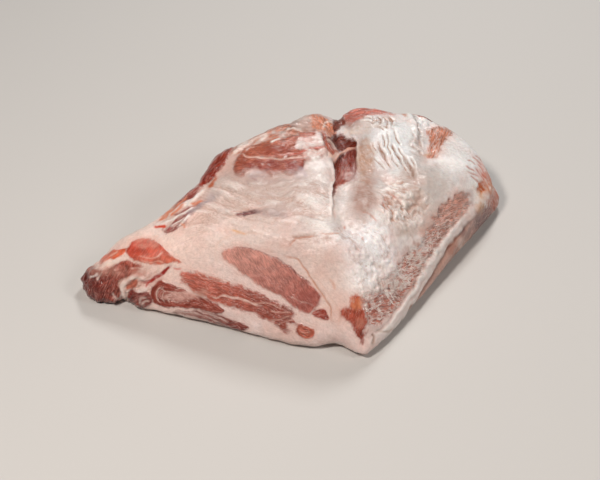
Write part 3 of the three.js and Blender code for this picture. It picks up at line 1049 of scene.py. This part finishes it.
# %% Mask what repeats
ROUGH_SPOTS = [
    ((402, 202), (24, 26), 1.0), ((352, 234), (22, 10), 0.5), ((372, 252), (22, 36), 0.5),
    ((385, 123), (14, 6), 0.7), ((417, 142), (7, 16), 0.7), ((312, 238), (24, 5), 0.5),
    ((368, 286), (12, 12), 0.5),
]
SMOOTH_SPOT = ((360, 200), (13, 17))
CRAGGY_SPOTS = [((104, 284), (28, 20)), ((140, 296), (14, 12)), ((323, 128), (16, 14))]
WRINKLE_SPOTS = [
    ((265, 200), (70, 26)), ((190, 212), (36, 20)), ((315, 205), (20, 26)), ((120, 280), (40, 22)),
    ((360, 165), (14, 24)),
]
DRY_SPOTS = [((345, 148), (16, 38)), ((364, 198), (16, 20)), ((215, 242), (45, 26))]
DRYNESS = 0.8
WET_COAT = 0.5
CRINKLED_LEAST = 0.3
THREAD_SPAN = (180, 262)
THREAD_PATCHES = (-0.8, 0.2)

lumpy = [strength * spot_mask(centre, radii) for centre, radii, strength in ROUGH_SPOTS]
lumpy = np.max(lumpy, axis=0) * seen * (1 - spot_mask(*SMOOTH_SPOT))
craggy = np.max([spot_mask(*spot) for spot in CRAGGY_SPOTS], axis=0) * seen
wrinkled = np.max([spot_mask(*spot) for spot in WRINKLE_SPOTS], axis=0) * seen
crinkled = np.maximum.reduce((lumpy, wrinkled, np.full(count, CRINKLED_LEAST)))
torn *= seen
bare *= seen
threaded = torn * smoothstep(*THREAD_SPAN, places[:, 1]) * smoothstep(*THREAD_PATCHES, tooth)
coat = WET_COAT * np.prod([1 - DRYNESS * spot_mask(*spot) for spot in DRY_SPOTS], axis=0)
for name, mask in (("lumpy", lumpy), ("wrinkled", wrinkled), ("torn", torn), ("bare", bare)):
    print(name, "share of the skin:", round(float(mask.mean()), 2))

# %% [markdown]
# ## The sides that the photo doesn't show
#
# Behind, the block is drawn as it usually is: layers of muscle parted by seams of fat that run around it,
# over the fat cap that it lies on. A slow noise makes the seams wander and the layers swell. Patches of
# silverskin, a thin grey membrane, lie over them. The underside is fat all over.

# %% Draw the layers behind
LAYERS = {
    "lower muscle": dict(middle=31, half=11.5, swell=5, hex="a15f52", marbling=0.5),
    "upper muscle": dict(middle=61, half=11.5, swell=7, hex="97544a", marbling=0.35),
}
WANDER_SIZE = 55 * MM
WANDER = 13
SWELL_PLACE = Vector((7, 3, 5))
SILVER_SIZE = WANDER_SIZE / 2
SILVER_PLACE = Vector((1, 9, 4))
SILVER_HEX = "cdb7b0"
SILVER_SPAN = (0.0, 0.5)
SILVER_STRENGTH = 0.75
OCTAVES = (1, 2, 3)
BACK_CRISP = 0.55
BACK_TEETH = 3.5
NOISE_SPAN = (-1, 1)
BACK_SHADE = (0.72, 1.3)
BACK_LIFT = 0.6
BACK_LIFT_BAND = (-2, 3)
UNDERSIDE_SPAN = (-0.8, -0.5)

wander = np.array([noise.fractal(Vector(p) / WANDER_SIZE, *OCTAVES) for p in points]) * WANDER
swell = np.array([noise.noise(Vector(p) / WANDER_SIZE + SWELL_PLACE) for p in points])
silver = np.array([noise.fractal(Vector(p) / SILVER_SIZE + SILVER_PLACE, *OCTAVES) for p in points])
height = points[:, 2] / MM + wander
behind = 1 - seen
back_lean = np.full(count, OUTSIDE)
back_tint = np.zeros((count, 4))
back_marbling = np.zeros(count)
for layer in LAYERS.values():
    depth = layer["half"] + layer["swell"] * swell - np.abs(height - layer["middle"])
    back_tint[depth > back_lean] = linear(layer["hex"])
    back_marbling[depth > back_lean] = layer["marbling"]
    back_lean = np.maximum(back_lean, depth)
back_lean = BACK_CRISP * (back_lean + BACK_TEETH * tooth)
back_tint *= np.interp(swell - silver, NOISE_SPAN, BACK_SHADE)[:, None]
level = smoothstep(*UNDERSIDE_SPAN, normals[:, 2])
back_lean = level * back_lean + (1 - level) * OUTSIDE

hidden = behind > 0.5
lean = seen * lean + behind * back_lean
tint = np.where(hidden[:, None], back_tint, tint)
marbling = np.where(hidden, back_marbling, marbling)
film_tint[hidden] = linear(SILVER_HEX)
film_share = seen * film_share + behind * level * SILVER_STRENGTH * smoothstep(*SILVER_SPAN, silver)
lift = seen * lift + behind * BACK_LIFT * smoothstep(*BACK_LIFT_BAND, back_lean)
print("skin drawn as layers:", round(float(hidden.mean()), 2))

# %% [markdown]
# ## Fibres, and the map on the mesh
#
# Streaks and veins have to run along the fibres. So every point gets a place at which its noise is read:
# how far along the fibres it is, how far across them, and a third number that keeps muscles of different
# grain apart. Behind, the fibres run around the block. Then all that was drawn is stored on the mesh, where
# the relief and the material read it by name.

# %% Lay out the fibres
GRAIN_APART = 50
AROUND_RADIUS = 120
FIBRE_STRETCH = 0.45

right, up = (places * RIGHT_AND_UP).T
along = right * np.cos(grain) + up * np.sin(grain)
across = up * np.cos(grain) - right * np.sin(grain)
fibre = np.stack((along, across, grain * GRAIN_APART), axis=1)
fibre[whorl, 1] = front_lean[whorl]
around = np.arctan2(points[:, 1], points[:, 0]) * AROUND_RADIUS * FIBRE_STRETCH
fibre[hidden] = np.stack((around, height, wander * FIBRE_STRETCH), axis=1)[hidden]
print("fibres reach over, in mm:", round(float(np.ptp(fibre[:, 0]))))

# %% Store the map on the mesh
FIELDS = {
    "lean": lean, "marbling": marbling, "film_share": film_share, "lift": lift, "coat": coat, "torn": torn,
    "bare": bare, "lumpy": lumpy, "wrinkled": wrinkled, "crinkled": crinkled, "craggy": craggy,
    "threaded": threaded, "streaky": streaky, "everywhere": np.ones(count),
}
COLOURS = {"lean_tint": tint, "fat_tint": fat, "film_tint": film_tint}
DIRECTIONS = {"fibre": fibre, "stroke": stroke}
STORED = {
    ("FLOAT", "value"): FIELDS,
    ("FLOAT_COLOR", "color"): COLOURS,
    ("FLOAT_VECTOR", "vector"): DIRECTIONS,
}
for (kind, key), maps in STORED.items():
    for name, values in maps.items():
        stored = meat.data.attributes.new(name, kind, "POINT")
        stored.data.foreach_set(key, values.astype(np.float32).ravel())
print("stored:", ", ".join([*FIELDS, *COLOURS, *DIRECTIONS]))

# %% [markdown]
# ## Relief
#
# Real meat is never smooth: fat is lumpy where it was pulled, membranes gather, torn fibres stand up.
# Sculpting all of it by hand would be slow. A Geometry Nodes tree does it by rule instead. It reads the
# masks, makes one noise for each kind of unevenness, stretched along the right direction, adds the drawn
# lifts, and pushes every point out along its normal. All sizes are millimetres and are inputs of the tree.
# The valleys are noted on the mesh as well, for the warm, dark painted shade that the material lays into the
# creases of the fat, and the painted highlight on its ridges.

# %% Name the kinds of relief
SIDES = ("Length", "Width", "Height")
KINDS = {
    "Lump": dict(size=(22.0, 15.0, 12.0), mask="lumpy", along="place", crease=1.0, curl=0.4),
    "Web": dict(size=(16.0, 12.0, -7.0), mask="lumpy", along="place", crease=-0.8, curl=1.6),
    "Crumple": dict(size=(8.0, 3.8, 5.0), mask="lumpy", along="stroke", crease=0.4, curl=0.4),
    "Wrinkle": dict(size=(38.0, 10.0, 9.0), mask="wrinkled", along="stroke", crease=0.6, curl=0.4),
    "Torn": dict(size=(14.0, 4.2, -4.5), mask="torn", along="fibre", crease=-1.0, curl=1.0),
    "Crag": dict(size=(13.0, 9.0, 7.0), mask="craggy", along="place", crease=0.3, curl=0.6),
    "Strand": dict(size=(24.0, 4.2, 5.0), mask="bare", along="fibre", crease=0.0, curl=0.4),
    "Pore": dict(size=(14.0, 10.0, 2.0), mask="everywhere", along="place", crease=0.1, curl=0.0),
}
SIZES = {f"{name} {side}": size for name in KINDS for side, size in zip(SIDES, KINDS[name]["size"])}
NOISE_MIDDLE = 0.5
CREASE_TO_RIDGE = 0.16
RELIEF_DETAIL = 2
print("relief:", ", ".join(KINDS))

# %% Build the relief tree
def add(tree, kind, inputs=None, out=0, **settings):
    """Add one node, set its options, fill each input with a value or a link, and give back one output."""
    node = tree.nodes.new(kind)
    for name, value in settings.items():
        setattr(node, name, value)
    for name, value in (inputs or {}).items():
        if isinstance(value, bpy.types.NodeSocket):
            tree.links.new(value, node.inputs[name])
        else:
            node.inputs[name].default_value = value
    return node.outputs[out] if node.outputs else None


tree = bpy.data.node_groups.new("meat relief", "GeometryNodeTree")
tree.interface.new_socket("Geometry", in_out="INPUT", socket_type="NodeSocketGeometry")
tree.interface.new_socket("Geometry", in_out="OUTPUT", socket_type="NodeSocketGeometry")
sockets = {}
for name in SIZES:
    sockets[name] = tree.interface.new_socket(name, in_out="INPUT", socket_type="NodeSocketFloat")
dressing = tree.interface.new_socket("Material", in_out="INPUT", socket_type="NodeSocketMaterial")
given = add(tree, "NodeGroupInput").node.outputs

NAMED = "GeometryNodeInputNamedAttribute"
field = {}
for name in ("lift", "lumpy", "wrinkled", "torn", "bare", "craggy", "everywhere"):
    field[name] = add(tree, NAMED, {"Name": name}, out="Attribute", data_type="FLOAT")
flow = {}
for name in DIRECTIONS:
    flow[name] = add(tree, NAMED, {"Name": name}, out="Attribute", data_type="FLOAT_VECTOR")
position = add(tree, "GeometryNodeInputPosition")
flow["place"] = add(tree, "ShaderNodeVectorMath", {0: position, "Scale": 1 / MM}, operation="SCALE")

total = field["lift"]
crease = 0.0
for name, kind in KINDS.items():
    length, width, rise = (given[f"{name} {side}"] for side in SIDES)
    cell = add(tree, "ShaderNodeCombineXYZ", {"X": length, "Y": width, "Z": width})
    scaled = add(tree, "ShaderNodeVectorMath", {0: flow[kind["along"]], 1: cell}, operation="DIVIDE")
    wave = {"Vector": scaled, "Scale": 1, "Detail": RELIEF_DETAIL, "Distortion": kind["curl"]}
    wave = add(tree, "ShaderNodeTexNoise", wave)
    centred = add(tree, "ShaderNodeMath", {0: wave, 1: NOISE_MIDDLE}, operation="SUBTRACT")
    billow = add(tree, "ShaderNodeMath", {0: centred}, operation="ABSOLUTE")
    rise = add(tree, "ShaderNodeMath", {0: billow, 1: rise}, operation="MULTIPLY")
    rise = add(tree, "ShaderNodeMath", {0: rise, 1: field[kind["mask"]]}, operation="MULTIPLY")
    total = add(tree, "ShaderNodeMath", {0: total, 1: rise}, operation="ADD")
    deep = kind["crease"]
    depth = {"Value": billow, "From Max": CREASE_TO_RIDGE, "To Min": deep, "To Max": -deep}
    depth = add(tree, "ShaderNodeMapRange", depth)
    depth = {0: depth, 1: field[kind["mask"]], 2: crease}
    crease = add(tree, "ShaderNodeMath", depth, operation="MULTIPLY_ADD")

metres = add(tree, "ShaderNodeMath", {0: total, 1: MM}, operation="MULTIPLY")
normal = add(tree, "GeometryNodeInputNormal")
push = add(tree, "ShaderNodeVectorMath", {0: normal, "Scale": metres}, operation="SCALE")
noted = {"Geometry": given["Geometry"], "Name": "crease", "Value": crease}
noted = add(tree, "GeometryNodeStoreNamedAttribute", noted, data_type="FLOAT", domain="POINT")
moved = add(tree, "GeometryNodeSetPosition", {"Geometry": noted, "Offset": push})
real = add(tree, "GeometryNodeRealizeInstances", {"Geometry": moved})
dressed = add(tree, "GeometryNodeSetMaterial", {"Geometry": real, "Material": given["Material"]})
add(tree, "NodeGroupOutput", {"Geometry": dressed})
print("relief tree:", len(tree.nodes), "nodes")

# %% [markdown]
# ## The material: patterns
#
# One material covers lean and fat, because on the real block they grow into each other. It reads the map
# that is stored on the mesh. Its patterns are noises of a few sizes. Some are the same in all directions,
# some are stretched along the fibres of the lean or along the lie of the fat. Muscle fibres are a tenth of
# a millimetre thick, which no picture of this size can show, so the streaks here stand for whole bundles of
# them.

# %% Lay out the patterns
SPOTS = {"coarse": 20.0, "mottle": 6.5, "edge": 4.0, "fine": 1.8}
STRETCHED = {
    "streak": ("fibre", 5.0, 0.9, 0.6),
    "marble": ("fibre", 16.0, 2.4, 0.6),
    "thread": ("fibre", 15.0, 4.6, 2.0),
    "cross": ("stroke", 15.0, 5.2, 2.0),
    "hairline": ("stroke", 34.0, 9.0, 0.6),
    "crinkle": ("stroke", 8.0, 2.6, 1.4),
}
LINED = ("marble", "thread", "cross", "hairline", "crinkle")
PATTERN_DETAIL = 3

# Soft, damp and slightly see-through: pale fat and red lean under one wet coat.
pork = bpy.data.materials.new("raw pork, lean and fat")
pork.use_nodes = True
tree = pork.node_tree
shader = tree.nodes["Principled BSDF"]
number = {}
for name in ("lean", "marbling", "film_share", "threaded", "streaky", "crease", "crinkled", "coat"):
    number[name] = add(tree, "ShaderNodeAttribute", out="Fac", attribute_name=name)
paint = {}
for name in COLOURS:
    paint[name] = add(tree, "ShaderNodeAttribute", out="Color", attribute_name=name)
place = add(tree, "ShaderNodeTexCoord", out="Object")

for name, size in SPOTS.items():
    sized = {"Vector": place, "Scale": 1 / (size * MM), "Detail": PATTERN_DETAIL}
    number[name] = add(tree, "ShaderNodeTexNoise", sized, out="Fac")
for name, (direction, length, width, curl) in STRETCHED.items():
    lie = add(tree, "ShaderNodeAttribute", out="Vector", attribute_name=direction)
    scale = (1 / length, 1 / width, 1 / width)
    scaled = add(tree, "ShaderNodeVectorMath", {0: lie, 1: scale}, operation="MULTIPLY")
    sized = {"Vector": scaled, "Scale": 1, "Detail": PATTERN_DETAIL, "Distortion": curl}
    number[name] = add(tree, "ShaderNodeTexNoise", sized, out="Fac")
for name in LINED:
    centred = add(tree, "ShaderNodeMath", {0: number[name], 1: NOISE_MIDDLE}, operation="SUBTRACT")
    number[name] = add(tree, "ShaderNodeMath", {0: centred}, operation="ABSOLUTE")
print("patterns:", ", ".join([*SPOTS, *STRETCHED]))

# %% [markdown]
# ## The material: where lean meets fat
#
# The stored distance to the muscle's outline is smooth. Noise added to it makes the border ragged, and a
# narrow range around zero turns it into lean on one side and fat on the other. All the other shares of one
# colour in another are made in the same way, so they stand in one table: what is read, its span, and the
# share at both ends.

# %% Turn patterns into shares
RAGGED = {"edge": 3.0, "streak": 1.8, "fine": 1.2}
border = number["lean"]
for name, reach in RAGGED.items():
    ragged = {0: number[name], 1: reach, 2: border}
    border = add(tree, "ShaderNodeMath", ragged, operation="MULTIPLY_ADD")
    border = add(tree, "ShaderNodeMath", {0: border, 1: reach / 2}, operation="SUBTRACT")
number["border"] = border

SHARES = {
    "lean": ("border", -0.7, 0.8, 0.0, 1.0),
    "fat light": ("edge", 0.36, 0.64, 0.94, 1.05),
    "speckle": ("fine", 0.36, 0.64, 0.94, 1.05),
    "blush": ("coarse", 0.48, 0.75, 0.0, 0.40),
    "halo": ("border", -4.0, 0.0, 0.0, 0.30),
    "hairline": ("hairline", 0.0, 0.012, 0.6, 0.0),
    "crinkle": ("crinkle", 0.0, 0.035, 0.6, 0.0),
    # Painted shade in the valleys of the relief and a painted highlight on its ridges.
    "hollow": ("crease", 0.1, 1.2, 0.0, 0.8),
    "ridge": ("crease", -0.1, -1.2, 0.0, 0.7),
    "streak": ("streak", 0.36, 0.60, 0.50, 1.18),
    "mottle": ("mottle", 0.36, 0.64, 0.82, 1.16),
    "core": ("border", 0.0, 3.0, 0.95, 1.0),
    "dash": ("streak", 0.52, 0.66, 0.0, 0.4),
    "thread": ("thread", 0.012, 0.036, 1.0, 0.0),
    "cross": ("cross", 0.008, 0.028, 0.9, 0.0),
    "cord": ("crease", -0.55, -0.95, 0.0, 0.9),
    "patchy": ("edge", 0.35, 0.6, 0.75, 1.15),
    "matt": ("border", -0.4, 0.5, 0.46, 0.32),
}
MASKED = {
    "hairline": "crinkled", "crinkle": "crinkled", "dash": "streaky",
    "thread": "threaded", "cross": "threaded", "cord": "threaded",
}
share = {}
for name, (source, low, high, first, last) in SHARES.items():
    span = {"Value": number[source], "From Min": low, "From Max": high, "To Min": first, "To Max": last}
    share[name] = add(tree, "ShaderNodeMapRange", span)
for name, mask in MASKED.items():
    masked = {0: share[name], 1: number[mask]}
    share[name] = add(tree, "ShaderNodeMath", masked, operation="MULTIPLY")
print("shares:", len(share))

# %% [markdown]
# ## The material: colours
#
# Fat starts from its own stored tint and blushes in soft patches and near the lean. Its creases get a warm,
# dark painted shade and its ridges a pale painted highlight. Lean starts from its muscle's tint, gets streaks
# and darker edges, and fat runs through it as veins. Films, stains and painted light come last, and the same
# noise that frays the border breaks them up.

# %% Mix the colours
BLUSH_HEX = "e0ad9f"
# The crease colour is painted shade, warm and dark, and the ridge colour a painted highlight.
CREASE_SHADE_HEX = "b08471"
RIDGE_HIGHLIGHT_HEX = "fbf4ef"
DASH_HEX = "c8958a"
THREAD_HEX = "fff0e9"
VEIN_WIDEST = 0.05
VEIN_STRENGTH = 0.75

# A mix node has sockets for each kind of value. These are the ones for colours.
SHARE, UNDER, OVER, MIXED = 0, 6, 7, 2

fat_light = {0: share["fat light"], 1: share["speckle"]}
fat_light = add(tree, "ShaderNodeMath", fat_light, operation="MULTIPLY")
fat_colour = {"Value": fat_light, "Color": paint["fat_tint"]}
fat_colour = add(tree, "ShaderNodeHueSaturation", fat_colour)
# Painted light on the fat: painted shade in the valleys of the relief and along the crinkle lines and
# hairlines, and a painted highlight on the ridges.
FAT_LAYERS = {
    "blush": BLUSH_HEX, "halo": BLUSH_HEX, "crinkle": CREASE_SHADE_HEX,
    "hairline": CREASE_SHADE_HEX, "hollow": CREASE_SHADE_HEX, "ridge": RIDGE_HIGHLIGHT_HEX,
}
for name, code in FAT_LAYERS.items():
    laid = {SHARE: share[name], UNDER: fat_colour, OVER: linear(code)}
    fat_colour = add(tree, "ShaderNodeMix", laid, out=MIXED, data_type="RGBA")

calm = {"Factor": number["streaky"], "A": 1.0, "B": share["streak"]}
lean_light = add(tree, "ShaderNodeMix", calm, data_type="FLOAT")
for name in ("mottle", "core"):
    lean_light = add(tree, "ShaderNodeMath", {0: lean_light, 1: share[name]}, operation="MULTIPLY")
lean_colour = {"Value": lean_light, "Color": paint["lean_tint"]}
lean_colour = add(tree, "ShaderNodeHueSaturation", lean_colour)
width = add(tree, "ShaderNodeMath", {0: number["marbling"], 1: VEIN_WIDEST}, operation="MULTIPLY")
veins = {"Value": number["marble"], "From Max": width, "To Min": VEIN_STRENGTH, "To Max": 0}
veins = add(tree, "ShaderNodeMapRange", veins)
lean_layers = [(share["dash"], linear(DASH_HEX)), (veins, fat_colour)]
lean_layers += [(share[name], linear(THREAD_HEX)) for name in ("thread", "cross", "cord")]
for cover, colour in lean_layers:
    laid = {SHARE: cover, UNDER: lean_colour, OVER: colour}
    lean_colour = add(tree, "ShaderNodeMix", laid, out=MIXED, data_type="RGBA")

colour = {SHARE: share["lean"], UNDER: fat_colour, OVER: lean_colour}
colour = add(tree, "ShaderNodeMix", colour, out=MIXED, data_type="RGBA")
veil = {0: number["film_share"], 1: share["patchy"]}
veil = add(tree, "ShaderNodeMath", veil, operation="MULTIPLY", use_clamp=True)
colour = {SHARE: veil, UNDER: colour, OVER: paint["film_tint"]}
colour = add(tree, "ShaderNodeMix", colour, out=MIXED, data_type="RGBA")
tree.links.new(colour, shader.inputs["Base Color"])
print("colours mixed:", len(tree.nodes), "nodes")

# %% [markdown]
# ## The material: wet shine
#
# Fresh meat is wet, and a wet thing has two surfaces: the meat, rather matt, and a film of water over it,
# which is smooth. The clear coat plays the film, and there is less of it in the dry places. Fine bumps, in
# millimetres, break its highlights into glints. Light also goes a little way into fat and comes out warmer,
# which is what subsurface scattering does.

# %% Add the shine
WET_ROUGHNESS = 0.12
MEAT_IOR = 1.4
GLOW_WEIGHT = 0.08
GLOW_DEPTH = 1.5
GLOW_TINT = (1.0, 0.4, 0.25)
BUMPS = {"fine": (0.35, None), "crinkle": (1.6, "crinkled"), "streak": (0.5, "is_lean")}

number["is_lean"] = share["lean"]
height = 0.0
for name, (rise, mask) in BUMPS.items():
    raised = add(tree, "ShaderNodeMath", {0: number[name], 1: rise}, operation="MULTIPLY")
    raised = {0: raised, 1: number[mask] if mask else 1.0, 2: height}
    height = add(tree, "ShaderNodeMath", raised, operation="MULTIPLY_ADD")
bump = add(tree, "ShaderNodeBump", {"Height": height, "Strength": 1.0, "Distance": MM})
tree.links.new(bump, shader.inputs["Normal"])
tree.links.new(bump, shader.inputs["Coat Normal"])
tree.links.new(share["matt"], shader.inputs["Roughness"])
tree.links.new(number["coat"], shader.inputs["Coat Weight"])
SHINE = {
    "IOR": MEAT_IOR, "Coat IOR": MEAT_IOR, "Coat Roughness": WET_ROUGHNESS, "Subsurface Weight": GLOW_WEIGHT,
    "Subsurface Radius": GLOW_TINT, "Subsurface Scale": GLOW_DEPTH * MM,
}
for name, value in SHINE.items():
    shader.inputs[name].default_value = value
print("raw pork:", len(tree.nodes), "nodes")

# %% [markdown]
# ## The finished skin
#
# Now the relief tree gets its sizes and the material, and what it makes becomes the mesh. The sides that
# the photo doesn't show are then thinned out, so that what shows can stay as fine as it is while the whole
# piece keeps under 200,000 triangles.

# %% Push the skin out and dress it
TRIANGLE_LIMIT = 196_000

relief = meat.modifiers.new("meat relief", "NODES")
relief.node_group = bpy.data.node_groups["meat relief"]
for name, size in SIZES.items():
    relief[sockets[name].identifier] = size
relief[dressing.identifier] = pork
freeze(meat)

thin(np.flatnonzero(hidden).tolist(), TRIANGLE_LIMIT / triangles)
meat.data.shade_smooth()
triangles = sum(len(p.vertices) - 2 for p in meat.data.polygons)
print("finished skin:", triangles, "triangles")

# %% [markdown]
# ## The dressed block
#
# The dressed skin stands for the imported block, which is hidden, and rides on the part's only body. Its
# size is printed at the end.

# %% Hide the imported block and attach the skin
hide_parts("pork_collar")
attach(meat, "root")
low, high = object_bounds()
print("dressed block, in mm:", [round(side / MM, 1) for side in high - low])
